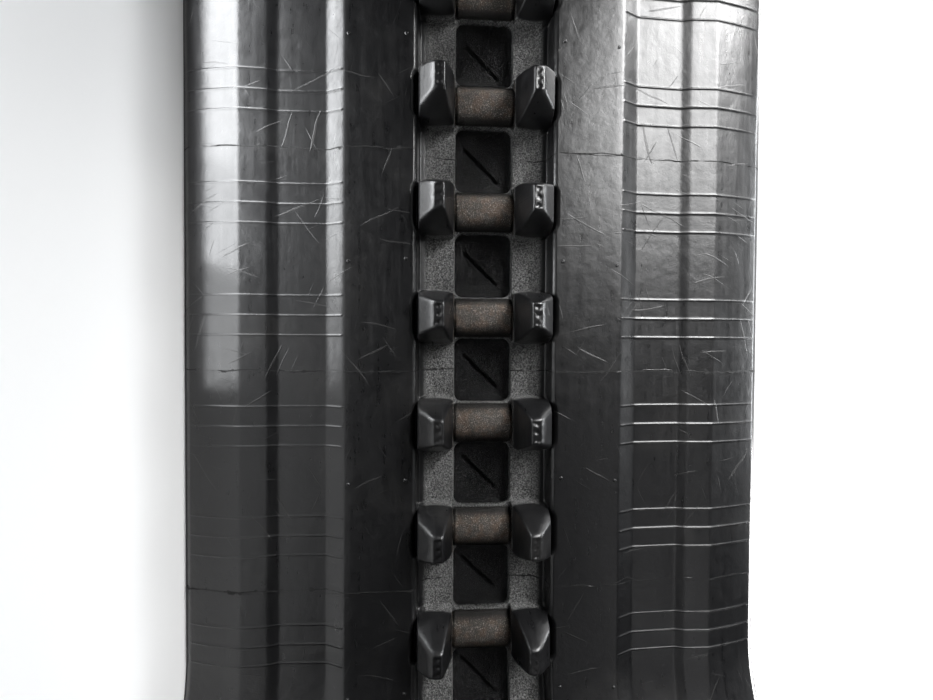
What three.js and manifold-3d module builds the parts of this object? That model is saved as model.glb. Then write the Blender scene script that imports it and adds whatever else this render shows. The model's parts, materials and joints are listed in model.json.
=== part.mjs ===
// An endless rubber track for a small crawler, lying on its side edge.
// Millimetres, +Z up. The loop is an oval: straight runs along X, a half round at each end.
// Each pitch is one steel core in one rubber section, and two steel cord belts run all the way round.
import * as THREE from 'three';
import { mergeVertices } from 'three/addons/utils/BufferGeometryUtils.js';
import Module from 'manifold-3d';

const wasm = await Module();
wasm.setup();

// Driving dimensions
const PITCH = 60;
const LINKS = 28;
const WIDTH = 330;
const END_PIVOTS = 8; // pivots that share each half turn
const CLEARANCE = 0.3; // between pieces that touch on the real track

// Heights above the neutral plane, which holds the cords and the flex axes
const ROLLER_PATH = 18;
const VALLEY = 5;
const POCKET_FLOOR = -2;
const BELT_BASE = -10;
const TREAD = -27.5;
const BAR_TOP = 12;
const SHOULDER = 11.5;
const HORN_TIP = 36;

// Distances from the centre line of the track
const BAR_HALF_LENGTH = 16.8;
const VALLEY_OUTER = 36;
const WING_END = 112;
const CORD_INNER = 44;
const CORD_OUTER = 110;

// Steel core
const BAR_HALF_WIDTH = 11;
const BAR_SIDE_TOP = 6; // where the flat sides of the bar meet its round top
const WING_HALF_WIDTH = 13;
const WING_LOW = 2.5;
const WING_HIGH = 9.5;
const CORD_HALF_THICKNESS = 1;

// Section ends lean back from the flex axis, so that neighbours can turn
const INWARD_LEAN = THREE.MathUtils.degToRad(12.3);
const OUTWARD_LEAN = THREE.MathUtils.degToRad(1.2);

// Right half of the inner face, from the valley floor to the belt base: distance from centre, height
const HALF_PROFILE = [
  [VALLEY_OUTER, VALLEY],
  [38.5, ROLLER_PATH], // inner edge of the roller path
  [76.5, ROLLER_PATH], // outer edge of the roller path
  [86, 13.5], // foot of the slope down to the wing
  [112, 12.5],
  [118, 13.8], // small step along the wing
  [132, 14.5],
  [150, 11], // bevel to the side edge
  [WIDTH / 2, 6],
  [WIDTH / 2, -7],
  [WIDTH / 2 - 5, BELT_BASE],
];

// Horn and horn stub outlines at rising heights, for the side where z is positive
const HORN_LEVELS = [
  { height: 9, halfAlong: 15, near: 17.1, far: 36.6, corner: 3 },
  { height: 25, halfAlong: 11.5, near: 18.5, far: 35.8, corner: 3 },
  { height: HORN_TIP, halfAlong: 6.8, near: 22.5, far: 28.1, corner: 1 },
];
const STUB_LEVELS = [
  { height: WING_HIGH - 1, halfAlong: 8, near: 20, far: 33, corner: 2 },
  { height: 27, halfAlong: 5, near: 22, far: 28.5, corner: 1 },
];

// A closed geometry as a solid that can be joined and cut
function solid(geometry) {
  geometry.deleteAttribute('normal');
  geometry.deleteAttribute('uv');
  const merged = mergeVertices(geometry);
  return new wasm.Manifold(new wasm.Mesh({
    numProp: 3,
    vertProperties: new Float32Array(merged.attributes.position.array),
    triVerts: new Uint32Array(merged.index.array),
  }));
}

// The solid's surface as a geometry that a mesh can show
function surface(manifold) {
  const { vertProperties, triVerts } = manifold.getMesh();
  const geometry = new THREE.BufferGeometry();
  geometry.setAttribute('position', new THREE.BufferAttribute(vertProperties, 3));
  geometry.setIndex(new THREE.BufferAttribute(triVerts, 1));
  geometry.computeVertexNormals();
  return geometry;
}

// A link's own frame: x along the track, y outwards (so height is -y), z across from the centre line

// An outline of [along, height] points, extruded across the track
function prismAcross(outline, low, high) {
  const shape = new THREE.Shape(outline.map(([along, height]) => new THREE.Vector2(along, -height)));
  const geometry = new THREE.ExtrudeGeometry(shape, { depth: high - low, bevelEnabled: false });
  return solid(geometry.translate(0, 0, low));
}

// An outline of [across, height] points, extruded along the track
function prismAlong(outline, halfLength) {
  const shape = new THREE.Shape(outline.map(([across, height]) => new THREE.Vector2(-across, -height)));
  const geometry = new THREE.ExtrudeGeometry(shape, { depth: 2 * halfLength, bevelEnabled: false });
  return solid(geometry.translate(0, 0, -halfLength).rotateY(Math.PI / 2));
}

function block(halfAlong, low, high, near, far) {
  const geometry = new THREE.BoxGeometry(2 * halfAlong, high - low, far - near);
  return solid(geometry.translate(0, -(low + high) / 2, (near + far) / 2));
}

// A tapering block with cut corners, through the outlines given at rising heights
function loft(levels, side, margin = 0) {
  const sides = 8;
  const positions = [];
  for (const { height, halfAlong, near, far, corner } of levels) {
    const x = halfAlong + margin;
    const middle = (near + far) / 2;
    const z = (far - near) / 2 + margin;
    const top = levels.at(-1).height === height;
    const ring = [
      [x, z - corner], [x - corner, z], [corner - x, z], [-x, z - corner],
      [-x, corner - z], [corner - x, -z], [x - corner, -z], [x, corner - z],
    ];
    for (const [along, across] of ring) {
      positions.push(along, -(height + (top ? margin : -margin)), side * (middle + across));
    }
  }
  const triangles = [];
  for (let level = 0; level < levels.length - 1; level += 1) {
    for (let n = 0; n < sides; n += 1) {
      const a = level * sides + n;
      const b = level * sides + ((n + 1) % sides);
      triangles.push(a, b, a + sides, b, b + sides, a + sides);
    }
  }
  const topStart = (levels.length - 1) * sides;
  for (let n = 1; n < sides - 1; n += 1) {
    triangles.push(0, n + 1, n, topStart, topStart + n, topStart + n + 1);
  }
  if (side < 0) triangles.reverse();
  const geometry = new THREE.BufferGeometry();
  geometry.setAttribute('position', new THREE.Float32BufferAttribute(positions, 3));
  geometry.setIndex(triangles);
  return solid(geometry);
}

// Half the length of a section at a height
function endAt(height) {
  const lean = height > 0 ? INWARD_LEAN : OUTWARD_LEAN;
  return PITCH / 2 - CLEARANCE / 2 - Math.abs(height) * Math.tan(lean);
}

// The space between two neighbours' flex planes, which trims a section's ends
function endTrim() {
  const heights = [TREAD - 1, 0, HORN_TIP + 4];
  const right = heights.map((height) => [endAt(height), height]);
  const left = heights.toReversed().map((height) => [-endAt(height), height]);
  return prismAcross([...right, ...left], -WIDTH, WIDTH);
}

// Straight bar of tread, longer on one side of the centre line, with sloping flanks
function treadBar(side) {
  const outline = [[-17, BELT_BASE + 0.5], [17, BELT_BASE + 0.5], [13.5, TREAD], [-13.5, TREAD]];
  const far = WIDTH / 2 - 6;
  const ends = [-28, far].map((across) => side * across);
  return prismAcross(outline, Math.min(...ends), Math.max(...ends));
}

function rubberSection(treadSide) {
  const mirrored = HALF_PROFILE.toReversed().map(([across, height]) => [-across, height]);
  let body = prismAlong([...HALF_PROFILE, ...mirrored], PITCH / 2 + 1);
  for (const side of [-1, 1]) {
    const reach = [side * 5, side * (VALLEY_OUTER + 2)];
    const shoulder = block(15.5, VALLEY - 1, SHOULDER, Math.min(...reach), Math.max(...reach));
    body = body.add(shoulder).add(loft(HORN_LEVELS, side));
  }
  body = body.intersect(endTrim()).add(treadBar(treadSide));

  const channelHalf = BAR_HALF_LENGTH + CLEARANCE;
  body = body.subtract(block(PITCH, POCKET_FLOOR, HORN_TIP, -channelHalf, channelHalf));
  const wingReach = WING_END + CLEARANCE;
  const [tunnelFloor, tunnelRoof] = [WING_LOW - CLEARANCE, WING_HIGH + CLEARANCE];
  body = body.subtract(block(WING_HALF_WIDTH + CLEARANCE, tunnelFloor, tunnelRoof, -wingReach, wingReach));
  for (const side of [-1, 1]) {
    const slotHalf = CORD_HALF_THICKNESS + CLEARANCE;
    const edges = [CORD_INNER - CLEARANCE, CORD_OUTER + CLEARANCE].map((across) => side * across);
    const slot = block(PITCH, -slotHalf, slotHalf, Math.min(...edges), Math.max(...edges));
    body = body.subtract(slot).subtract(loft(STUB_LEVELS, side, CLEARANCE));
  }
  return body;
}

// The exposed bar between the horns: flat sides and a round top
function bar() {
  const rise = BAR_TOP - BAR_SIDE_TOP;
  const radius = (BAR_HALF_WIDTH ** 2 + rise ** 2) / (2 * rise);
  const swing = Math.asin(BAR_HALF_WIDTH / radius);
  const steps = 8;
  const outline = [];
  for (let n = 0; n <= steps; n += 1) {
    const angle = swing * (1 - (2 * n) / steps);
    outline.push([radius * Math.sin(angle), BAR_TOP - radius * (1 - Math.cos(angle))]);
  }
  const foot = POCKET_FLOOR + CLEARANCE;
  outline.push([-BAR_HALF_WIDTH, foot], [BAR_HALF_WIDTH, foot]);
  return prismAcross(outline, -BAR_HALF_LENGTH, BAR_HALF_LENGTH);
}

function steelCore() {
  const wings = block(WING_HALF_WIDTH, WING_LOW, WING_HIGH, -WING_END, WING_END);
  const bay = block(PITCH, POCKET_FLOOR, HORN_TIP, -BAR_HALF_LENGTH, BAR_HALF_LENGTH);
  return wings.subtract(bay).add(bar()).add(loft(STUB_LEVELS, -1)).add(loft(STUB_LEVELS, 1));
}

// Turn at the pivot after each link, clockwise seen from above
function turnAfter(link) {
  const pivot = link + 0.5;
  const bent = Math.min(Math.abs(pivot - LINKS / 4), Math.abs(pivot - (3 * LINKS) / 4)) < END_PIVOTS / 2;
  return bent ? Math.PI / END_PIVOTS : 0;
}

// Each link's middle and heading on the neutral plane, and the pivot after it
function restPath() {
  const path = [];
  let heading = 0;
  const middle = new THREE.Vector2(0, PITCH / 2 / Math.tan(Math.PI / END_PIVOTS / 2));
  for (let link = 0; link < LINKS; link += 1) {
    const half = new THREE.Vector2(Math.cos(heading), Math.sin(heading)).multiplyScalar(PITCH / 2);
    const pivot = middle.clone().add(half);
    path.push({ middle: middle.clone(), heading, pivot, turn: turnAfter(link) });
    heading -= turnAfter(link);
    middle.copy(pivot).add(new THREE.Vector2(Math.cos(heading), Math.sin(heading)).multiplyScalar(PITCH / 2));
  }
  return path;
}

// The closed line through every pivot that turns, moved outwards by a distance, anticlockwise
function ringLine(path, outwards) {
  return path.filter(({ turn }) => turn > 0).toReversed().map(({ pivot, heading, turn }) => {
    const bisector = heading - turn / 2 + Math.PI / 2;
    const reach = outwards / Math.cos(turn / 2);
    return new THREE.Vector2(pivot.x + reach * Math.cos(bisector), pivot.y + reach * Math.sin(bisector));
  });
}

function cordBelt(path, near, far) {
  const shape = new THREE.Shape(ringLine(path, CORD_HALF_THICKNESS));
  shape.holes.push(new THREE.Path(ringLine(path, -CORD_HALF_THICKNESS)));
  const geometry = new THREE.ExtrudeGeometry(shape, { depth: far - near, bevelEnabled: false });
  return solid(geometry.translate(0, 0, WIDTH / 2 + near));
}

function named(name, manifold, color, roughness, metalness) {
  const material = new THREE.MeshStandardMaterial({ color, roughness, metalness });
  const mesh = new THREE.Mesh(surface(manifold), material);
  mesh.name = name;
  return mesh;
}

const track = new THREE.Group();
const path = restPath();
const sections = { '-1': rubberSection(-1), 1: rubberSection(1) };
const core = steelCore();

path.forEach(({ middle, heading }, link) => {
  const number = String(link).padStart(2, '0');
  const treadSide = link % 2 ? 1 : -1;
  const holder = new THREE.Group();
  holder.position.set(middle.x, middle.y, WIDTH / 2);
  holder.rotation.z = heading;
  holder.add(named(`rubber_section_${number}`, sections[treadSide], 0x17181a, 0.45, 0));
  holder.add(named(`steel_core_${number}`, core, 0x4a4038, 0.6, 0.8));
  track.add(holder);
});
track.add(named('cord_belt_lower', cordBelt(path, -CORD_OUTER, -CORD_INNER), 0x8a8d90, 0.4, 1));
track.add(named('cord_belt_upper', cordBelt(path, CORD_INNER, CORD_OUTER), 0x8a8d90, 0.4, 1));

export default track;
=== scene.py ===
"""Looks for the rubber track: a rubber carcass bent round the loop, steel cores and cords, in a small
studio.
"""

import json
import math

import bpy
import numpy as np
from mathutils import Matrix, Vector

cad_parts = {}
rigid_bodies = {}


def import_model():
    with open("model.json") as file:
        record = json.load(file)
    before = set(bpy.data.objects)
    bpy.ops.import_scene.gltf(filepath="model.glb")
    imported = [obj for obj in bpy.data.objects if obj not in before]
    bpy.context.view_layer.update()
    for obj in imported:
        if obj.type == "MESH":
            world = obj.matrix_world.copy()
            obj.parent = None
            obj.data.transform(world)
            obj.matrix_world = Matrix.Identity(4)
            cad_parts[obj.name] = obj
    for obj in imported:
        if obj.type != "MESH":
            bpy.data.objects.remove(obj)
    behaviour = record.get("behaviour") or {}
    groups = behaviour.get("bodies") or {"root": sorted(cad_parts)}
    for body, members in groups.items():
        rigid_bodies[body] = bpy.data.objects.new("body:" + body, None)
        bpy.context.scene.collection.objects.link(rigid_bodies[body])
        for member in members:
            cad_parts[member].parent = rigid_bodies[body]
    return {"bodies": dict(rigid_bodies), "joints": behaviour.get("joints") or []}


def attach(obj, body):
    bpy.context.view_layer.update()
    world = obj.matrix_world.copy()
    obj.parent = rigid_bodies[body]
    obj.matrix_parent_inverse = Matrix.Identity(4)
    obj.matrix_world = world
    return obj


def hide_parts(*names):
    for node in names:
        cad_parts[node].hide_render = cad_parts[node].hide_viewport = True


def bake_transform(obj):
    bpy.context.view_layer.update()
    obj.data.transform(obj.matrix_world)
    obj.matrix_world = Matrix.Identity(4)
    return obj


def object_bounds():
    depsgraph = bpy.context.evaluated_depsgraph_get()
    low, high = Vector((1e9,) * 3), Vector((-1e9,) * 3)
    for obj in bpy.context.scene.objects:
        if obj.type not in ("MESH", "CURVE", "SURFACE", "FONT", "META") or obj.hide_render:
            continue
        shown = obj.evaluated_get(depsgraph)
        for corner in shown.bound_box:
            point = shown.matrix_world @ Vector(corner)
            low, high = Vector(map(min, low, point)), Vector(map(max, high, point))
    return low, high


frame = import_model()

CAD_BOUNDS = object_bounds()
MM = 0.001

# The track's layout, read from the frame. All shapes below are in millimetres in the track's own
# directions: s along the track, z across from the centre line, h inwards from the neutral plane.
LINKS = len(frame["bodies"])
OPEN_PIVOT = 14  # between link 14 and link 15, which no joint joins
HALF_WIDTH = (CAD_BOUNDS[1][2] - CAD_BOUNDS[0][2]) / MM / 2

# Inner face of the carcass: distance from the centre line, height
INNER_PROFILE = [
    (0, 5), (29, 5), (34, 7.5), (36.3, 8), (37.2, 16.2), (39.0, 18), (75.7, 18), (77.5, 17.3),
    (86, 13.5), (112, 12.5), (117.5, 13.9), (132, 14.5), (150, 11), (161, 8), (HALF_WIDTH, 4),
]
ROLLER_OUTER = 76.5
BELT_BASE = -10
TREAD = -27.5
TREAD_BAR_HALF_WIDTH = 17.0  # at the top of its flanks
TREAD_BAR_PAST_CENTRE = 28.0  # each bar reaches this far onto the other side
TREAD_BAR_EDGE_GAP = 6.0
SCUFF_DEPTH = 0.15
BAR_TOP = 12
BAR_CROWN = 6.2  # how much lower the bar's long edges are than its top
BAR_HALF_WIDTH = 11
BAR_HALF_LENGTH = 16.7
POCKET_FLOOR = -2
POCKET_HALF_ACROSS = BAR_HALF_LENGTH - 0.3
POCKET_HALF_ALONG = 18.4
POCKET_CORNER = 5.0
SLIT_S, SLIT_Z = 0.7, 0.72  # direction of the diagonal cut in a pocket's floor
SLIT_OFFSET = 1.2  # of the cut from the pocket's middle
SLIT_DEPTH = 2.4
ROLLER_PATH = 18.0
HORN_TIP = 36
TIP_CENTRE = 25.3
TIP_HALF_ACROSS = 2.8
TIP_HALF_ALONG = 6.8
RIB_OFFSET = 10.7  # fine ribs across the wings: one at the bar's middle, one each side
RIB_HEIGHT = 0.42
RIB_SPREAD = 0.48
WIDEST_TURN = math.radians(13)  # the open pivot's notch leaves room for it
OUTWARD_NOTCH = 0.025  # slope of the open pivot's end faces on the tread side
END_GAP = 0.02  # each half of the carcass ends this far from the open pivot
CORD_GAP = 0.5  # left at the end of each cord at the open pivot
BEND_HALF = 20  # the carcass bends within this distance of a pivot
CHANNEL_HALF = 17.0  # of the stretch between the horns, which holds the bars and pockets
CORE_HALF_LENGTH = 112
CORD_RADIUS = 0.9
CORDS_FROM, CORDS_TO, CORDS_A_SIDE = 46, 108, 15

# Looks
COOL = (0.96, 0.98, 1)
FLOOR_GLOW, WALL_GLOW = 0.14, 0.7
CAMERA_AT = (0.0141, -0.108, 0.1388)  # with the lens and turns, fitted to the photograph
CAMERA_LENS = 17.1
CAMERA_TILT, CAMERA_YAW, CAMERA_ROLL = (math.radians(angle) for angle in (1.0, 3.83, 0.33))


# ---------------------------------------------------------------- layout of the loop


def link_number(body):
    return int(body.rsplit("_", 1)[1])


def find_pivots():
    """The point of each flex axis on the neutral plane, in metres, by number."""
    found = {}
    for joint in frame["joints"]:
        numbers = sorted((link_number(joint["parent"]), link_number(joint["child"])))
        pivot = numbers[0] if numbers[1] - numbers[0] == 1 else numbers[1]
        found[pivot] = np.array(joint["pos_m"][:2])
    found[OPEN_PIVOT] = 2 * found[OPEN_PIVOT - 1] - found[OPEN_PIVOT - 2]
    return [found[n] for n in range(LINKS)]


PIVOTS = find_pivots()
PITCH = np.linalg.norm(PIVOTS[1] - PIVOTS[0]) / MM
LENGTH = PITCH * LINKS
HALF_PITCH = PITCH / 2
MIDDLE_Z = (CAD_BOUNDS[0][2] + CAD_BOUNDS[1][2]) / 2


def body_name(link):
    return f"link_{link % LINKS:02d}"


def heading(link):
    """Unit vector along a link, towards the next one."""
    ends = PIVOTS[link % LINKS] - PIVOTS[(link - 1) % LINKS]
    return ends / np.linalg.norm(ends)


def middle(link):
    return (PIVOTS[link % LINKS] + PIVOTS[(link - 1) % LINKS]) / 2


def inwards(direction):
    return np.stack([direction[..., 1], -direction[..., 0]], -1)


def turn_at(pivot):
    """How far the track turns at a pivot, clockwise seen from above."""
    before, after = heading(pivot), heading(pivot + 1)
    return math.asin(max(-1.0, min(1.0, before[1] * after[0] - before[0] * after[1])))


def place_round_pivot(pivot, s, z, h):
    """World points, in metres, of points given around a pivot. The track turns along an arc."""
    turn = turn_at(pivot)
    s, z, h = np.broadcast_arrays(*(np.asarray(v, float) for v in (s, z, h)))
    if turn < 1e-6:
        line = PIVOTS[pivot] / MM + s[..., None] * heading(pivot)
        direction = np.broadcast_to(heading(pivot), line.shape)
    else:
        radius = 2 * BEND_HALF / turn
        reach = radius * math.tan(turn / 2)
        angle = turn * np.clip((s + BEND_HALF) / (2 * BEND_HALF), 0, 1)
        first, last = heading(pivot), heading(pivot + 1)
        start = PIVOTS[pivot] / MM - reach * first
        end = PIVOTS[pivot] / MM + reach * last
        stretch = (HALF_PITCH - reach) / (HALF_PITCH - BEND_HALF)
        arc = start + radius * (np.sin(angle)[..., None] * first
                                + (1 - np.cos(angle))[..., None] * inwards(first))
        direction = np.cos(angle)[..., None] * first + np.sin(angle)[..., None] * inwards(first)
        before = start + ((s + BEND_HALF) * stretch)[..., None] * first
        after = end + ((s - BEND_HALF) * stretch)[..., None] * last
        line = np.where((s > BEND_HALF)[..., None], after, arc)
        line = np.where((s < -BEND_HALF)[..., None], before, line)
    flat = line + h[..., None] * inwards(direction)
    return np.concatenate([flat * MM, (MIDDLE_Z + z * MM)[..., None]], -1)


def place_on_link(link, s, z, h):
    """World points, in metres, of points given around a link's middle."""
    s, z, h = np.broadcast_arrays(*(np.asarray(v, float) for v in (s, z, h)))
    flat = middle(link) / MM + s[..., None] * heading(link) + h[..., None] * inwards(heading(link))
    return np.concatenate([flat * MM, (MIDDLE_Z + z * MM)[..., None]], -1)


# ---------------------------------------------------------------- shape helpers


def ease(low, high, x):
    t = np.clip((x - low) / (high - low), 0, 1)
    return t * t * (3 - 2 * t)


def soft_min(values, k):
    return -k * np.log(sum(np.exp(-np.asarray(v) / k) for v in values))


def soft_max(a, b, k):
    return -soft_min([-a, -b], k)


def hashed(ix, iy, seed):
    """A repeatable number from 0 to 1 for each lattice point."""
    mixed = np.sin(ix * 127.1 + iy * 311.7 + seed * 74.7) * 43758.5453
    return mixed - np.floor(mixed)


def lattice_noise(x, y, cell, seed):
    """Smooth noise from -1 to 1. It repeats along x after the whole length of the track."""
    cells = max(1, round(LENGTH / cell))
    gx, gy = x / LENGTH * cells, y / cell
    ix, iy = np.floor(gx), np.floor(gy)
    fx, fy = ease(0, 1, gx - ix), ease(0, 1, gy - iy)
    corner = [[hashed((ix + dx) % cells, iy + dy, seed) for dy in (0, 1)] for dx in (0, 1)]
    low = corner[0][0] * (1 - fx) + corner[1][0] * fx
    high = corner[0][1] * (1 - fx) + corner[1][1] * fx
    return 2 * (low * (1 - fy) + high * fy) - 1


def rounded_profile(a):
    """INNER_PROFILE with its corners rounded off."""
    known = np.array(INNER_PROFILE, float)
    reach = 0.9 - 0.45 * ease(52, 41, a)
    spread = np.linspace(-1, 1, 9)
    return sum(np.interp(a + d * reach, known[:, 0], known[:, 1]) for d in spread) / len(spread)


# ---------------------------------------------------------------- inner face


def horn_height(u, a):
    """Guide horn at distance u from the link's middle and a from the centre line."""
    bulge = ((a - 27.0) / 10.0) ** 2
    faces = [
        np.full_like(u, HORN_TIP),
        HORN_TIP + (TIP_CENTRE + TIP_HALF_ACROSS - a) * 1.45,  # facet down to the outer rim
        24.5 + (36.0 - a) * 14,  # outer wall
        HORN_TIP + (a - TIP_CENTRE + TIP_HALF_ACROSS) * 4.6,  # inner wall, beside the bar
        HORN_TIP + (TIP_HALF_ALONG - u) * 2.6 - 3.2 * bulge,  # front and back
        26.0 + (12.6 - u) * 7 - 9 * bulge,
    ]
    return soft_min(faces, 1.45)


def tip_detail(u, a, worn):
    """Recessed blank panel with dimples on a horn's tip, shallower where it has worn."""
    inside = ease(0, 0.7, TIP_HALF_ACROSS - 0.6 - abs(a - TIP_CENTRE))
    inside = inside * ease(0, 0.7, TIP_HALF_ALONG - 1.1 - u)
    dimples = np.maximum.reduce([ease(1.5, 0.5, np.hypot(u - c, a - TIP_CENTRE)) for c in (0.0, 4.1)])
    return -(0.45 * inside + 0.5 * dimples) * worn


def pocket_edge(s, z):
    """Signed distance from the rim of the blind pocket, which is a rounded rectangle round the pivot."""
    across = abs(z) - (POCKET_HALF_ACROSS - POCKET_CORNER)
    along = abs(s) - (POCKET_HALF_ALONG - POCKET_CORNER)
    outside = np.hypot(np.maximum(across, 0), np.maximum(along, 0))
    return outside + np.minimum(np.maximum(across, along), 0) - POCKET_CORNER


def slit_depth(s, z):
    """Diagonal cut across a pocket's floor."""
    sideways = abs(SLIT_Z * s - SLIT_S * z - SLIT_OFFSET)
    lengthways = abs(SLIT_S * s + SLIT_Z * z)
    return SLIT_DEPTH * ease(1.05, 0.45, sideways) * ease(14.5, 13.3, lengthways)


def rib_height(u, a):
    """Thin ribs across the wings, from the roller path out to the side edge."""
    ridges = np.exp(-((u / RIB_SPREAD) ** 2)) + np.exp(-(((u - RIB_OFFSET) / RIB_SPREAD) ** 2))
    starts = ease(ROLLER_OUTER - 0.4, ROLLER_OUTER + 1.2, a)
    ends = ease(HALF_WIDTH - 3, HALF_WIDTH - 8, a)
    return RIB_HEIGHT * ridges * starts * ends


def inner_height(pivot, s, z):
    """Height of the inner face around a pivot."""
    u, a = HALF_PITCH - abs(s), abs(z)
    track_s = pivot * PITCH + HALF_PITCH + s
    scallop = 1.7 * np.clip(1.25 - 1.25 * (u / 12.5) ** 4, 0, 1) * ease(46, 40.5, a)
    base = rounded_profile(np.where(a > 36.5, np.maximum(a - scallop, 36.5), a))
    base = base + rib_height(u, a)
    ground = soft_max(base, horn_height(u, a), 0.8)
    lip = 5 + 1.2 * lattice_noise(track_s, z, 3.0, 5) * ease(17, 15, a) * ease(14, 11, u)
    ground = np.where(a < CHANNEL_HALF, np.minimum(ground, np.maximum(lip, POCKET_FLOOR)), ground)
    rim = ease(-1.3, 0.4, pocket_edge(s, z))
    channel = POCKET_FLOOR + (ground - POCKET_FLOOR) * rim
    height = np.where(a < CHANNEL_HALF, channel, ground)
    worn = 0.75 + 0.25 * lattice_noise(track_s, z, 21.0, 3)
    height = height + tip_detail(u, a, worn)
    floor = ease(0.2, -1.4, pocket_edge(s, z))
    crinkle = floor * 0.35 * lattice_noise(track_s, z * 1.3, 2.4, 7) * ease(-6, 14, s)
    height = height - floor * slit_depth(s, z)
    waves = 0.05 * lattice_noise(track_s, z, 16.0, 1) + 0.03 * lattice_noise(track_s, z, 6.0, 2)
    chips = 0.25 * lattice_noise(track_s, z, 2.2, 11) * ease(33, 36, height)
    return height + crinkle + waves + chips


# ---------------------------------------------------------------- tread side


def tread_height(pivot, s, z):
    """Height of the outer face around a pivot: one straight bar at each link, staggered side to side."""
    link = np.where(s < 0, pivot, pivot + 1) % LINKS
    side = np.where(link % 2 == 1, 1.0, -1.0)
    u, across = HALF_PITCH - abs(s), z * side
    flank = (TREAD_BAR_HALF_WIDTH - u) * 5.0
    inner_end = (across + TREAD_BAR_PAST_CENTRE) * 5.0
    outer_end = (HALF_WIDTH - TREAD_BAR_EDGE_GAP - across) * 5.0
    rise = soft_min([np.full_like(u, BELT_BASE - TREAD), flank, inner_end, outer_end], 0.8)
    edge = 3.0 * ease(HALF_WIDTH - 6, HALF_WIDTH, abs(z))
    track_s = pivot * PITCH + HALF_PITCH + s
    scuffs = SCUFF_DEPTH * lattice_noise(track_s, z, 5.0, 21)
    return BELT_BASE - np.maximum(rise, 0) + edge + scuffs


# ---------------------------------------------------------------- meshes


def spaced(*stretches):
    """Grid lines from (start, end, step) stretches, without near repeats."""
    lines = np.concatenate([np.linspace(a, b, max(2, round((b - a) / step) + 1))
                            for a, b, step in stretches])
    lines = np.unique(np.round(lines, 3))
    keep = np.concatenate([[True], np.diff(lines) > 0.05])
    return lines[keep]


def along_lines():
    """Distances from a link's middle at which the carcass has a row of points."""
    rib = np.array([-0.9, -0.55, -0.3, 0, 0.3, 0.55, 0.9])
    near = spaced((0, 8, 0.5), (8, 18, 0.8), (18, HALF_PITCH, 0.6))
    near = near[(abs(near - RIB_OFFSET) > 1.0) & ((near > 1.0) | (near == 0))]
    u = np.unique(np.concatenate([near, RIB_OFFSET + rib, rib[rib >= 0]]))
    s = HALF_PITCH - u
    return np.unique(np.concatenate([s, -s]))


def across_lines():
    """Distances from the centre line at which the inner face has a line of points."""
    a = spaced((0, 14, 0.5), (14, 18.5, 0.35), (18.5, 22, 0.6), (22, 28.8, 0.45), (28.8, 34, 0.7),
               (34, 42, 0.35), (42, 75, 3.0), (75, 79, 0.4), (79, 86, 1.4), (86, 87, 0.5),
               (87, 110, 4.0), (110, 119, 0.8), (119, 130, 3.0), (130, 134, 0.7), (134, 160, 4.0),
               (160, HALF_WIDTH, 0.7))
    return np.unique(np.concatenate([-a, a]))


def grid_faces(rows, columns, start=0, flip=False):
    r, c = np.meshgrid(np.arange(rows - 1), np.arange(columns - 1), indexing="ij")
    first = start + r * columns + c
    quads = np.stack([first, first + 1, first + columns + 1, first + columns], -1).reshape(-1, 4)
    return quads[:, ::-1] if flip else quads


class Builder:
    """Gathers points, faces and each point's place on the track, and makes one mesh of them."""

    def __init__(self):
        self.points, self.places, self.faces, self.smooth = [], [], [], []
        self.count = 0

    def add(self, points, places, faces, smooth=True):
        self.points.append(np.reshape(points, (-1, 3)))
        self.places.append(np.reshape(places, (-1, 3)))
        self.faces += [tuple(int(n) + self.count for n in face) for face in faces]
        self.smooth += [smooth] * len(faces)
        self.count += len(self.points[-1])

    def make(self, name, material):
        mesh = bpy.data.meshes.new(name)
        mesh.from_pydata(np.concatenate(self.points).tolist(), [], self.faces)
        mesh.polygons.foreach_set("use_smooth", self.smooth)
        attribute = mesh.attributes.new("track_place", "FLOAT_VECTOR", "POINT")
        attribute.data.foreach_set("vector", np.concatenate(self.places).astype(np.float32).ravel())
        mesh.materials.append(material)
        mesh.update()
        piece = bpy.data.objects.new(name, mesh)
        bpy.context.scene.collection.objects.link(piece)
        return piece


def track_places(pivot, s, z, h):
    return np.stack(np.broadcast_arrays(pivot * PITCH + HALF_PITCH + s, z, h), -1) * MM


def carcass_grid(builder, pivot, rows):
    """The carcass around a pivot, from one link's middle to the next, as a tube of four faces."""
    a = across_lines()
    s, z = np.meshgrid(rows, a, indexing="ij")
    inner = inner_height(pivot, s, z)
    under = a[::2] if len(a) % 2 else np.append(a[::2], a[-1])
    su, zu = np.meshgrid(rows, under, indexing="ij")
    outer = tread_height(pivot, su, zu)
    count, inner_columns, outer_columns = len(rows), len(a), len(under)
    outer_start = count * inner_columns
    points = np.concatenate([place_round_pivot(pivot, s, z, inner).reshape(-1, 3),
                             place_round_pivot(pivot, su, zu, outer).reshape(-1, 3)])
    places = np.concatenate([track_places(pivot, s, z, inner).reshape(-1, 3),
                             track_places(pivot, su, zu, outer).reshape(-1, 3)])
    faces = [grid_faces(count, inner_columns, 0, flip=True),
             grid_faces(count, outer_columns, outer_start)]
    r = np.arange(count - 1)
    edges = ((0, 0, False), (inner_columns - 1, outer_columns - 1, True))
    for inner_column, outer_column, flip in edges:
        top = r * inner_columns + inner_column
        low = outer_start + r * outer_columns + outer_column
        wall = np.stack([top, top + inner_columns, low + outer_columns, low], -1)
        faces.append(wall[:, ::-1] if flip else wall)
    builder.add(points, places, np.concatenate(faces))


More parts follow.
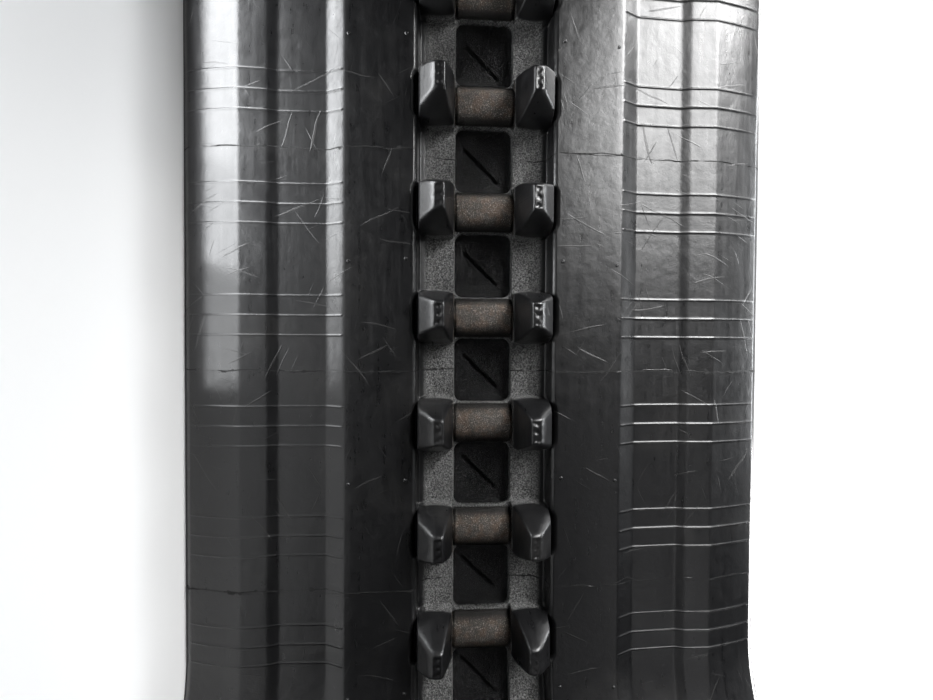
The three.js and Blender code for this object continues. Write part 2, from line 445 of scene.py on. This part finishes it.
def flash_line(builder, pivot):
    """Torn line of mould flash across the inner face, close to a pivot."""
    a = spaced((17.5, HALF_WIDTH - 1, 0.6))
    for side in (-1, 1):
        z = a * side
        track_s = np.full_like(z, pivot * PITCH + HALF_PITCH)
        wander = 1.1 * lattice_noise(track_s, z, 30.0, 31) + 0.5 * lattice_noise(track_s, z, 7.0, 32)
        torn = np.clip(0.35 + 0.9 * lattice_noise(track_s, z, 4.0, 33), 0.04, 1)
        lumps = 1.6 * np.clip(lattice_noise(track_s, z, 5.5, 34) - 0.72, 0, 1)
        ridge = 0.55 * torn + lumps
        half = 0.28 + 0.35 * lumps
        ground = inner_height(pivot, wander, z)
        section = [(wander - half, ground - 0.25), (wander + 0.15, ground + ridge),
                   (wander + half, ground - 0.25)]
        s = np.stack([p[0] for p in section], -1)
        h = np.stack([p[1] for p in section], -1)
        across = np.broadcast_to(z[:, None], s.shape)
        builder.add(place_round_pivot(pivot, s, across, h), track_places(pivot, s, across, h),
                    grid_faces(len(z), 3, 0, flip=side < 0))


def vent_pips(builder, pivot):
    """Short round stubs that the mould's air vents leave on the roller paths."""
    turns = np.linspace(0, 2 * np.pi, 13)[:-1]
    for side in (-1, 1):
        for across, along, radius in ((43.0, -0.8, 1.0), (73.5, 0.9, 0.9)):
            levels = [(1.25, -0.2), (1.0, 0.15), (0.8, 0.55), (0.45, 0.6), (0.0, 0.45)]
            s = np.array([[along + radius * k * math.cos(t) for t in turns] for k, _ in levels])
            z = np.array([[side * across + radius * k * math.sin(t) for t in turns] for k, _ in levels])
            h = np.array([[ROLLER_PATH + rise] * len(turns) for _, rise in levels])
            ring = len(turns)
            faces = [(low + n, low + ring + n, low + ring + (n + 1) % ring, low + (n + 1) % ring)
                     for low in range(0, ring * (len(levels) - 1), ring) for n in range(ring)]
            builder.add(place_round_pivot(pivot, s, z, h), track_places(pivot, s, z, h), faces)


def make_carcass(pivot, material):
    """The stretch of rubber between two links' middles, shaped round the bend at their pivot."""
    rows = along_lines()
    builder = Builder()
    carcass_grid(builder, pivot, rows)
    if pivot % 2 == 0:
        flash_line(builder, pivot)
    else:
        vent_pips(builder, pivot)
    piece = builder.make(f"carcass_{pivot:02d}", material)
    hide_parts(f"rubber_section_{pivot:02d}")
    bend_with_links(piece)


def bend_with_links(piece):
    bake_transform(piece)


def make_open_carcass(material):
    """The two halves of the carcass at the pivot that no joint joins. A notch lets them turn."""
    for sign, link in ((-1, OPEN_PIVOT), (1, OPEN_PIVOT + 1)):
        rows = along_lines()
        rows = rows[rows * sign >= 0]
        builder = Builder()
        carcass_grid(builder, OPEN_PIVOT, rows)
        piece = builder.make(f"carcass_{OPEN_PIVOT:02d}_{'a' if sign < 0 else 'b'}", material)
        notch_end(piece, sign, math.tan(WIDEST_TURN / 2))
        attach(piece, body_name(link))
        if sign < 0:
            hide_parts(f"rubber_section_{OPEN_PIVOT:02d}")


def notch_end(piece, sign, lean):
    """Leans an end face at the open pivot back, so that the halves only meet at the neutral plane."""
    direction, inward = heading(OPEN_PIVOT), inwards(heading(OPEN_PIVOT))
    co = np.array([v.co for v in piece.data.vertices])
    flat = co[:, :2] - PIVOTS[OPEN_PIVOT]
    s, h = flat @ direction * sign, flat @ inward
    back = np.maximum(h, 0) * lean + np.maximum(-h, 0) * OUTWARD_NOTCH + END_GAP * MM
    moved = np.where(s < back, back, s)
    co[:, :2] += ((moved - s) * sign)[:, None] * direction
    piece.data.vertices.foreach_set("co", co.ravel())
    piece.data.update()


# ---------------------------------------------------------------- steel cores and cords


def bar_surface(builder, link):
    """The exposed bar: flat sides, a round top and softened ends, with a pitted surface."""
    crown = [(x, BAR_TOP - BAR_CROWN * (x / BAR_HALF_WIDTH) ** 2.4)
             for x in np.linspace(BAR_HALF_WIDTH, 0, 13)]
    half = [(BAR_HALF_WIDTH, -1.7), (BAR_HALF_WIDTH, 2.0)] + crown
    outline = [(-x, h) for x, h in half] + [(x, h) for x, h in half[-2::-1]]
    outline = np.array(outline)
    z = spaced((-BAR_HALF_LENGTH, -15, 0.4), (-15, 15, 0.75), (15, BAR_HALF_LENGTH, 0.4))
    shrink = 1 - 0.1 * ease(15.2, BAR_HALF_LENGTH, abs(z))
    s = outline[:, 0][None, :] * shrink[:, None]
    h = outline[:, 1][None, :] * (1 - 0.09 * ease(15.2, BAR_HALF_LENGTH, abs(z)))[:, None]
    across = np.broadcast_to(z[:, None], s.shape)
    track_s = link * PITCH + s
    pits = (0.16 * lattice_noise(track_s, across, 1.6, 41)
            + 0.14 * lattice_noise(track_s, across, 4.0, 42))
    h = h + pits * ease(-1, 3, h)
    places = np.stack(np.broadcast_arrays(track_s, across, h), -1) * MM
    builder.add(place_on_link(link, s, across, h), places, grid_faces(len(z), len(outline)))
    for row, flip in ((0, False), (len(z) - 1, True)):
        ring = list(range(row * len(outline), (row + 1) * len(outline)))
        builder.faces.append(tuple(ring[::-1] if flip else ring))
        builder.smooth.append(False)


def core_block(builder, link, along, low, high, across, taper=0.0):
    """A block of the core that the rubber hides, narrower at its top by taper."""
    s, z, h = [], [], []
    for level, shrink in ((low, 0.0), (high, taper)):
        for cs, cz in ((-1, 0), (1, 0), (1, 1), (-1, 1)):
            s.append(cs * (along - shrink))
            z.append(across[0] + shrink if cz == 0 else across[1] - shrink)
            h.append(level)
    faces = [(0, 1, 2, 3), (7, 6, 5, 4)] + [(n, n + 4, (n + 1) % 4 + 4, (n + 1) % 4) for n in range(4)]
    s, z, h = np.array(s), np.array(z), np.array(h)
    places = np.stack([link * PITCH + s, z, h], -1) * MM
    builder.add(place_on_link(link, s, z, h), places, faces, smooth=False)


def make_core(link, material):
    builder = Builder()
    bar_surface(builder, link)
    for side in (-1, 1):
        wing = sorted((side * BAR_HALF_LENGTH, side * CORE_HALF_LENGTH))
        stub = sorted((side * 20, side * 33))
        core_block(builder, link, 13, 2.5, 9.5, wing)
        core_block(builder, link, 8, 9.5, 27, stub, taper=3)
    piece = builder.make(f"core_{link:02d}", material)
    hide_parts(f"steel_core_{link:02d}")
    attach(piece, body_name(link))


def cord_tubes(builder, pivot, s):
    """Parallel wire cords under both roller paths."""
    turns = np.linspace(0, 2 * np.pi, 7)[:-1]
    for side in (-1, 1):
        for across in np.linspace(CORDS_FROM, CORDS_TO, CORDS_A_SIDE) * side:
            ring_s, ring_t = np.meshgrid(s, turns, indexing="ij")
            z = across + CORD_RADIUS * np.cos(ring_t)
            h = CORD_RADIUS * np.sin(ring_t)
            ring = len(turns)
            faces = [(low + n, low + (n + 1) % ring, low + ring + (n + 1) % ring, low + ring + n)
                     for low in range(0, ring * (len(s) - 1), ring) for n in range(ring)]
            builder.add(place_round_pivot(pivot, ring_s, z, h), track_places(pivot, ring_s, z, h), faces)


def make_cords(pivot, material):
    """The cords between two links' middles."""
    halves = [(-1, 0), (0, 1)] if pivot == OPEN_PIVOT else [(-1, 1)]
    for n, (low, high) in enumerate(halves):
        builder = Builder()
        start = low * HALF_PITCH if low else CORD_GAP
        end = high * HALF_PITCH if high else -CORD_GAP
        cord_tubes(builder, pivot, np.linspace(start, end, 5 * (high - low) + 1))
        piece = builder.make(f"cords_{pivot:02d}_{n}", material)
        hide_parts("cord_belt_lower", "cord_belt_upper")
        if pivot == OPEN_PIVOT:
            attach(piece, body_name(pivot + n))
        else:
            bend_with_links(piece)


# ---------------------------------------------------------------- materials


class Nodes:
    """Shorthand for building a material's node tree."""

    def __init__(self, name):
        self.material = bpy.data.materials.new(name)
        self.material.use_nodes = True
        self.tree = self.material.node_tree
        self.shader = self.tree.nodes["Principled BSDF"]

    def new(self, kind, inputs=None, **settings):
        node = self.tree.nodes.new(kind)
        for key, value in settings.items():
            setattr(node, key, value)
        for key, value in (inputs or {}).items():
            if isinstance(value, bpy.types.NodeSocket):
                self.tree.links.new(value, node.inputs[key])
            else:
                node.inputs[key].default_value = value
        return node

    def math(self, operation, a, b=0.0, c=0.0):
        node = self.new("ShaderNodeMath", {0: a, 1: b, 2: c}, operation=operation)
        return node.outputs[0]

    def noise(self, vector, scale, detail=4.0, roughness=0.55):
        inputs = {"Vector": vector, "Scale": scale, "Detail": detail, "Roughness": roughness}
        return self.new("ShaderNodeTexNoise", inputs).outputs["Fac"]

    def stretched(self, vector, scale):
        return self.new("ShaderNodeVectorMath", {0: vector, 1: scale}, operation="MULTIPLY").outputs[0]

    def window(self, value, low, high):
        """0 at low and 1 at high, or the other way round, with a soft step."""
        inputs = {"Value": value, "From Min": low, "From Max": high}
        node = self.new("ShaderNodeMapRange", inputs, interpolation_type="SMOOTHSTEP")
        return node.outputs[0]

    def mix(self, factor, a, b):
        node = self.new("ShaderNodeMix", {0: factor, 6: a, 7: b}, data_type="RGBA")
        return node.outputs[2]

    def bump(self, height, distance, strength=1.0, below=None):
        inputs = {"Height": height, "Distance": distance, "Strength": strength}
        if below is not None:
            inputs["Normal"] = below
        return self.new("ShaderNodeBump", inputs).outputs[0]

    def set(self, **inputs):
        for key, value in inputs.items():
            socket = self.shader.inputs[key.replace("_", " ")]
            if isinstance(value, bpy.types.NodeSocket):
                self.tree.links.new(value, socket)
            else:
                socket.default_value = value
        return self.material


def scratch_streaks(n, place, parts, angle, seed):
    """Long thin scratches that all run roughly one way."""
    turned = []
    for phase in (0, math.pi / 2):
        a = n.math("MULTIPLY", parts.outputs[0], math.cos(angle + phase))
        b = n.math("MULTIPLY", n.math("ABSOLUTE", parts.outputs[1]), math.sin(angle + phase))
        turned.append(n.math("ADD", a, b))
    sway = n.math("MULTIPLY", n.noise(place, 18, detail=2), 0.012)
    line = n.new("ShaderNodeCombineXYZ", {0: n.math("MULTIPLY", turned[0], 26.0),
                                          1: n.math("MULTIPLY", n.math("ADD", turned[1], sway), 620.0),
                                          2: seed}).outputs[0]
    return n.window(n.noise(line, 1.0, detail=0.0), 0.785, 0.84)


def rubber_material():
    """Black moulded rubber: satin skin, grainy valleys with painted glints, glossy pockets, dust, soil
    and scratches, and painted shade in the slits and along the flash lines.
    """
    n = Nodes("moulded rubber")
    place = n.new("ShaderNodeAttribute", attribute_name="track_place").outputs["Vector"]
    parts = n.new("ShaderNodeSeparateXYZ", {0: place})
    across = n.math("ABSOLUTE", parts.outputs[1])
    height = parts.outputs[2]

    valley = n.math("MULTIPLY", n.window(across, 0.0345, 0.031), n.window(height, 0.0125, 0.009))
    mottle = n.noise(place, 160, detail=6)
    cloud = n.noise(place, 28, detail=4)
    streak = n.noise(n.stretched(place, (1.0, 22.0, 1.0)), 20, detail=6, roughness=0.7)
    grain = n.noise(place, 1150, detail=3, roughness=0.7)
    fine = n.noise(place, 2600, detail=2)
    streaks = [scratch_streaks(n, place, parts, angle, seed)
               for seed, angle in enumerate((0.35, 1.1, 1.75, 2.5))]
    scratches = n.math("MAXIMUM", n.math("MAXIMUM", *streaks[:2]), n.math("MAXIMUM", *streaks[2:]))
    pocket = n.math("MULTIPLY", n.window(across, 0.0172, 0.0162), n.window(height, 0.0035, 0.0005))
    scratches = n.math("MULTIPLY", scratches, n.math("SUBTRACT", 1.0, pocket))

    normal = n.bump(cloud, 0.0009, 0.4)
    normal = n.bump(mottle, 0.0003, 0.7, normal)
    crinkle = n.math("MULTIPLY", pocket, n.noise(place, 270, detail=3, roughness=0.65))
    normal = n.bump(crinkle, 0.0045, 1.0, normal)
    grit = n.math("MULTIPLY", grain, n.math("MULTIPLY_ADD", valley, 2.2, 0.06))
    normal = n.bump(grit, 0.0006, 1.0, normal)
    normal = n.bump(fine, 0.00003, 0.5, normal)
    normal = n.bump(scratches, 0.00012, 0.6, normal)

    rough = n.math("MULTIPLY_ADD", streak, 0.34, 0.065)
    rough = n.math("ADD", rough, n.math("MULTIPLY", mottle, 0.2))
    rough = n.math("SUBTRACT", rough, n.math("MULTIPLY", pocket, 0.16))
    rough = n.math("ADD", rough, n.math("MULTIPLY", scratches, 0.15))
    dust = n.math("MULTIPLY", n.window(cloud, 0.5, 0.75), 0.5)
    dust = n.math("ADD", dust, n.math("MULTIPLY", scratches, 0.6))
    colour = n.mix(dust, (0.004, 0.004, 0.0044, 1), (0.016, 0.0155, 0.015, 1))
    colour = n.mix(pocket, colour, (0.006, 0.006, 0.0065, 1))
    outside = n.window(height, -0.008, -0.0095)
    caked = n.window(n.math("ADD", cloud, n.math("MULTIPLY", mottle, 0.3)), 0.52, 0.78)
    soil = n.math("MULTIPLY", outside, caked)
    colour = n.mix(soil, colour, (0.017, 0.0155, 0.0135, 1))
    rough = n.math("ADD", rough, n.math("MULTIPLY", outside, 0.15))
    # Painted glints: pale grains painted on the valley floors beside the horns stand in for light
    # glinting off their grit.
    painted_glints = n.window(grain, 0.36, 0.7)
    glint_area = n.math("MULTIPLY", valley, n.math("SUBTRACT", n.window(height, 0.0, 0.002), pocket))
    colour = n.mix(n.math("MULTIPLY", glint_area, painted_glints), colour, (0.21, 0.21, 0.205, 1))

    flash = flash_mask(n, place, parts)
    rough = n.math("ADD", rough, n.math("MULTIPLY", flash, 0.5))
    # Painted shade: the diagonal slits and the flash lines are painted near black, standing in for the
    # shade in and beside them.
    painted_shade_lines = n.math("MAXIMUM", slit_shade_mask(n, parts), flash)
    colour = n.mix(painted_shade_lines, colour, (0.0005, 0.0005, 0.0005, 1))
    return n.set(Base_Color=colour, Roughness=rough, Normal=normal, Specular_IOR_Level=0.55)


def flash_mask(n, place, parts):
    """Thin torn line across the inner face at every second pivot, where the mould's parts met. It makes
    the line rougher and carries painted shade along it.
    """
    spacing = 2 * PITCH * MM
    wander = n.math("MULTIPLY", n.math("SUBTRACT", n.noise(place, 45, detail=3), 0.5), 0.004)
    shifted = n.math("ADD", n.math("SUBTRACT", parts.outputs[0], HALF_PITCH * MM), wander)
    cell = n.math("SUBTRACT", n.math("FRACT", n.math("MULTIPLY_ADD", shifted, 1 / spacing, 0.5)), 0.5)
    offset = n.math("ABSOLUTE", n.math("MULTIPLY", cell, spacing))
    knots = n.window(n.noise(place, 120, detail=2), 0.56, 0.72)
    reach = n.math("MULTIPLY_ADD", knots, 0.0013, 0.0004)
    torn = n.window(n.noise(place, 75, detail=3), 0.42, 0.52)
    line = n.math("MULTIPLY", n.window(n.math("DIVIDE", offset, reach), 1.0, 0.6),
                  n.math("MULTIPLY_ADD", torn, 0.75, 0.25))
    return n.math("MULTIPLY", line, n.window(parts.outputs[2], 0.003, 0.0045))


def slit_shade_mask(n, parts):
    """Diagonal cut across each pocket floor, on the track's own coordinates, for the painted shade in
    the cut.
    """
    cell = n.math("SUBTRACT", n.math("FRACT", n.math("DIVIDE", parts.outputs[0], PITCH * MM)), 0.5)
    along = n.math("MULTIPLY", cell, PITCH * MM)
    tilted = n.math("SUBTRACT", n.math("MULTIPLY", along, SLIT_Z),
                    n.math("MULTIPLY", parts.outputs[1], SLIT_S))
    offset = n.math("ABSOLUTE", n.math("SUBTRACT", tilted, SLIT_OFFSET * MM))
    length = n.math("ADD", n.math("MULTIPLY", along, SLIT_S),
                    n.math("MULTIPLY", parts.outputs[1], SLIT_Z))
    line = n.window(offset, 0.00095, 0.0007)
    line = n.math("MULTIPLY", line, n.window(n.math("ABSOLUTE", length), 0.0145, 0.0135))
    return n.math("MULTIPLY", line, n.window(parts.outputs[2], 0.0005, 0.0))


def core_material():
    """Bare steel worn by the sprocket, brown grey, with rust in the pits and painted shade low down on
    its flanks.
    """
    n = Nodes("worn core steel")
    place = n.new("ShaderNodeAttribute", attribute_name="track_place").outputs["Vector"]
    height = n.new("ShaderNodeSeparateXYZ", {0: place}).outputs[2]
    speckle = n.noise(place, 1500, detail=5, roughness=0.75)
    patches = n.noise(place, 210, detail=4)
    colour = n.mix(n.window(patches, 0.42, 0.62), (0.05, 0.045, 0.04, 1), (0.075, 0.053, 0.039, 1))
    colour = n.mix(n.window(speckle, 0.53, 0.66), colour, (0.36, 0.32, 0.28, 1))
    colour = n.mix(n.window(speckle, 0.46, 0.3), colour, (0.02, 0.016, 0.013, 1))
    # Painted shade: the bar is painted darker below its crown, down its flanks.
    colour = n.mix(n.window(height, 0.0112, 0.0075), colour, (0.01, 0.009, 0.008, 1))
    normal = n.bump(speckle, 0.0007, 1.0)
    rough = n.math("MULTIPLY_ADD", speckle, 0.3, 0.2)
    return n.set(Base_Color=colour, Roughness=rough, Normal=normal, Metallic=0.55)


def cord_material():
    n = Nodes("wire cord")
    place = n.new("ShaderNodeAttribute", attribute_name="track_place").outputs["Vector"]
    lay = n.noise(n.stretched(place, (1.0, 0.3, 0.3)), 1800, detail=2)
    rough = n.math("MULTIPLY_ADD", lay, 0.25, 0.25)
    normal = n.bump(lay, 0.0002, 0.6)
    return n.set(Base_Color=(0.45, 0.44, 0.42, 1), Roughness=rough, Normal=normal, Metallic=1.0)


def studio_material(name, glow):
    n = Nodes(name)
    place = n.new("ShaderNodeTexCoord").outputs["Object"]
    tone = n.noise(place, 3, detail=3)
    colour = n.mix(tone, (0.88, 0.88, 0.88, 1), (0.92, 0.92, 0.92, 1))
    normal = n.bump(n.noise(place, 900, detail=2), 0.0001, 0.3)
    return n.set(Base_Color=colour, Roughness=0.7, Normal=normal, Emission_Color=(1, 1, 1, 1),
                 Emission_Strength=glow)


# ---------------------------------------------------------------- studio


def make_studio(floor_material, wall_material):
    """A round pale floor that sweeps up into a wall on all sides."""
    floor_radius, bend, top, rise, sides = 3.4, 0.8, 3.8, 1.6, 64
    line = [(0.5, 0.0), (floor_radius, 0.0)]
    for step in range(1, 9):
        angle = math.pi / 2 * step / 8
        line.append((floor_radius + bend * math.sin(angle), bend * (1 - math.cos(angle))))
    line.append((floor_radius + bend, top))
    turns = [2 * math.pi * n / sides for n in range(sides)]
    points = [(r * math.cos(t), r * math.sin(t), z) for r, z in line for t in turns]
    points[-sides:] = [(x, y, top + rise * math.sin(t)) for (x, y, _), t in zip(points[-sides:], turns)]
    faces = [(ring * sides + n, (ring + 1) * sides + n,
              (ring + 1) * sides + (n + 1) % sides, ring * sides + (n + 1) % sides)
             for ring in range(len(line) - 1) for n in range(sides)]
    faces.append(tuple(range(sides)))
    mesh = bpy.data.meshes.new("studio")
    mesh.from_pydata(points, [], faces)
    mesh.polygons.foreach_set("use_smooth", [True] * len(faces))
    mesh.materials.append(floor_material)
    mesh.materials.append(wall_material)
    behind = [min(points[n][1] for n in face) > 1.5 for face in faces]
    wall = [int(far and n >= sides) for n, far in enumerate(behind)]
    mesh.polygons.foreach_set("material_index", wall)
    studio = bpy.data.objects.new("studio", mesh)
    bpy.context.scene.collection.objects.link(studio)


def area_light(name, at, towards, size, radiance, colour=(1, 1, 1)):
    """A soft light of even brightness, hidden from the camera."""
    data = bpy.data.lights.new(name, "AREA")
    data.shape = "RECTANGLE"
    data.size, data.size_y = size
    data.energy = radiance * math.pi * size[0] * size[1]
    data.color = colour
    light = bpy.data.objects.new(name, data)
    bpy.context.scene.collection.objects.link(light)
    light.location = at
    light.rotation_euler = (Vector(towards) - Vector(at)).to_track_quat("-Z", "Y").to_euler()
    light.visible_camera = False


def make_lights():
    """Each light's place, what it points at, its size in metres, its radiance and its colour."""
    area_light("key", (-0.75, -0.8, 0.85), (-0.1, 0.12, 0.25), (0.8, 0.8), 17)
    area_light("rake", (-0.95, -0.4, 0.95), (-0.05, 0.14, 0.17), (0.45, 0.45), 30)
    # Low inside the loop, shining up along the left wing: where along x, length, radiance
    for n, (x, length, radiance) in enumerate(((-0.175, 0.17, 19), (-0.06, 0.06, 14), (0.005, 0.07, 5))):
        area_light(f"low left {n}", (x, 0.107, 0.004), (x, 0.107, 1), (length, 0.05), radiance, COOL)
    area_light("strip", (-0.12, 0.155, 0.9), (-0.12, 0.155, 0), (0.6, 0.09), 26, COOL)
    area_light("top", (0.0, 0.0, 1.6), (0, 0, 0), (1.4, 1.4), 0.5, (0.95, 0.98, 1))
    area_light("wall", (-0.9, 0.75, 0.9), (0.0, 1.4, 0.2), (0.8, 0.8), 12)
    area_light("floor", (0.7, 0.75, 1.2), (0.0, 0.5, 0.0), (0.7, 0.7), 18)
    world = bpy.data.worlds.new("studio")
    world.use_nodes = True
    world.node_tree.nodes["Background"].inputs[0].default_value = (0.75, 0.78, 0.82, 1)
    world.node_tree.nodes["Background"].inputs[1].default_value = 0.03
    bpy.context.scene.world = world
    bpy.context.scene.view_settings.view_transform = "Standard"


def make_camera():
    """Inside the loop, level with the upper part of the far run, looking at the inner face of link 0."""
    data = bpy.data.cameras.new("camera")
    data.sensor_width = 36
    data.lens = CAMERA_LENS
    data.clip_start = 0.001
    camera = bpy.data.objects.new("camera", data)
    bpy.context.scene.collection.objects.link(camera)
    ahead, up, right = Vector((0, 1, 0)), Vector((-1, 0, 0)), Vector((0, 0, 1))
    level = Matrix((right, up, -ahead)).transposed()
    turn = (Matrix.Rotation(CAMERA_ROLL, 3, "Z") @ Matrix.Rotation(-CAMERA_YAW, 3, "Y")
            @ Matrix.Rotation(-CAMERA_TILT, 3, "X"))
    camera.matrix_world = Matrix.Translation(CAMERA_AT) @ (level @ turn).to_4x4()
    bpy.context.scene.camera = camera


# ---------------------------------------------------------------- the scene


make_camera()
rubber, core_steel, cord_steel = rubber_material(), core_material(), cord_material()
for number in range(LINKS):
    make_core(number, core_steel)
    make_cords(number, cord_steel)
    if number != OPEN_PIVOT:
        make_carcass(number, rubber)
make_open_carcass(rubber)
make_studio(studio_material("pale studio floor", FLOOR_GLOW),
            studio_material("pale studio wall", WALL_GLOW))
make_lights()
